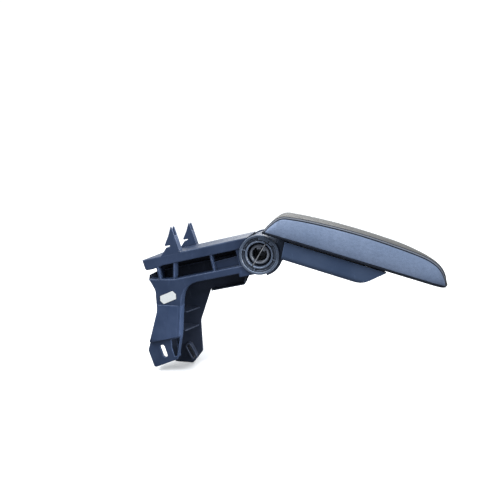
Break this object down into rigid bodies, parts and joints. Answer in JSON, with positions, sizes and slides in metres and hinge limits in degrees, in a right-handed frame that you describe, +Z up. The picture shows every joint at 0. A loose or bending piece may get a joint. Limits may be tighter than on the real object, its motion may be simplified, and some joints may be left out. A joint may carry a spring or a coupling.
{
  "type": "centre armrest",
  "caption": "Car centre armrest: a ribbed, hooked plastic carrier with a grooved hub, and a crowned, seamed pad that tilts up on it and slides forward.",
  "frame": {"origin": "centre of the fixing slot at the carrier's foot, on the middle plane", "axes": "+X forward along the car, towards the pad's nose; +Y across the car; +Z up"},
  "size_m": [0.4501, 0.12, 0.2668],
  "materials": {
    "carrier_plastic": "dark blue-grey moulded plastic, fine grain",
    "spine_plastic": "near-black moulded plastic",
    "hub_plastic": "satin dark grey plastic",
    "sleeve_plastic": "satin grey plastic",
    "bearing_plastic": "natural bearing plastic",
    "steel": "bright steel",
    "label_paper": "blank white paper",
    "arm_plastic": "near-black moulded plastic",
    "under_shell_plastic": "dark blue-grey satin plastic",
    "pad_skin": "grey synthetic leather",
    "panel_skin": "grained blue-grey synthetic leather",
    "welt_skin": "dark grey synthetic leather",
    "base_plastic": "near-black plastic"
  },
  "bodies": {
    "carrier": {"carrier_near_shell": "carrier_plastic", "carrier_far_shell": "carrier_plastic", "carrier_spine": "spine_plastic", "through_bolt_1": "steel", "through_bolt_2": "steel", "through_bolt_3": "steel", "through_bolt_4": "steel", "blank_label": "label_paper", "hub_ring_near": "hub_plastic", "hub_ring_far": "hub_plastic", "cross_pin": "steel", "torsion_spring": "steel"},
    "arm": {"arm_core": "arm_plastic", "pivot_tube": "sleeve_plastic", "bearing_bush_near": "bearing_plastic", "bearing_bush_far": "bearing_plastic", "thrust_washer_near": "bearing_plastic", "thrust_washer_far": "bearing_plastic", "under_shell": "under_shell_plastic", "under_shell_screw_1": "steel", "under_shell_screw_2": "steel", "slide_rail_near": "steel", "slide_rail_far": "steel"},
    "pad": {"slider_shoe_near_1": "bearing_plastic", "slider_shoe_near_2": "bearing_plastic", "slider_shoe_far_1": "bearing_plastic", "slider_shoe_far_2": "bearing_plastic", "pad_base": "base_plastic", "pad_core_board": "base_plastic", "pad_cushion": "pad_skin", "side_panel_near": "panel_skin", "side_panel_far": "panel_skin", "welt_near": "welt_skin", "welt_far": "welt_skin", "pad_screw_1": "steel", "pad_screw_2": "steel", "pad_screw_3": "steel", "pad_screw_4": "steel"}
  },
  "joints": [
    {"name": "armrest_tilt", "type": "hinge", "parent": "carrier", "child": "arm", "pos_m": [0.16, 0, 0.169], "axis": [0, -1, 0], "range_deg": [0, 85]},
    {"name": "pad_slide", "type": "slide", "parent": "arm", "child": "pad", "axis": [0.9622, 0, -0.2723], "range_m": [0, 0.06]}
  ]
}
